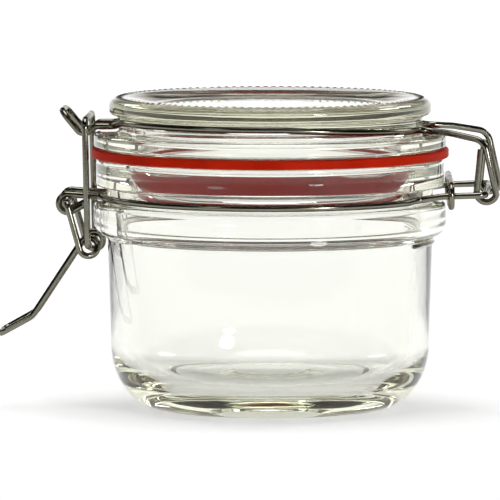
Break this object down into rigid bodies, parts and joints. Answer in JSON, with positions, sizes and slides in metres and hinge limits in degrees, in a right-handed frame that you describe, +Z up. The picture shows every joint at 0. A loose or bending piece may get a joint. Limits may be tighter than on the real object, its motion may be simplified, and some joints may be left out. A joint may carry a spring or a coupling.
{
  "type": "clip top jar",
  "caption": "Low round glass storage jar, empty, with a recessed glass lid on a wire hinge, a rubber sealing ring and a wire lever clamp that pulls the lid down.",
  "frame": {"origin": "centre of the jar's base, on the table plane, on the glass axis", "axes": "+Z up along the glass axis, +X towards the wire hinge, -X towards the clamp lever"},
  "size_m": [0.1396, 0.099, 0.0865],
  "materials": {
    "glass": "clear pressed soda-lime glass",
    "rubber": "satin orange-red moulded rubber",
    "steel": "bright drawn steel wire"
  },
  "bodies": {
    "jar": {"jar_glass": "glass", "neck_wire": "steel", "tie_ring": "steel"},
    "lid": {"lid_glass": "glass", "gasket": "rubber", "lid_wire": "steel"},
    "lever": {"lever": "steel"},
    "loop": {"closing_loop": "steel"}
  },
  "joints": [
    {"name": "lid_hinge", "type": "hinge", "parent": "jar", "child": "lid", "pos_m": [0.0603, 0, 0.0611], "axis": [0, 1, 0], "range_deg": [0, 190]},
    {"name": "lever_pivot", "type": "hinge", "parent": "jar", "child": "lever", "pos_m": [-0.0557, 0, 0.0577], "axis": [0, 1, 0], "range_deg": [0, 120]},
    {"name": "loop_pivot", "type": "hinge", "parent": "lever", "child": "loop", "pos_m": [-0.0497, 0, 0.0459], "axis": [0, 1, 0], "range_deg": [-80, 0]}
  ],
  "couplings": [
    {"joint": "loop_pivot", "follows": "lever_pivot", "ratio": -0.655}
  ]
}
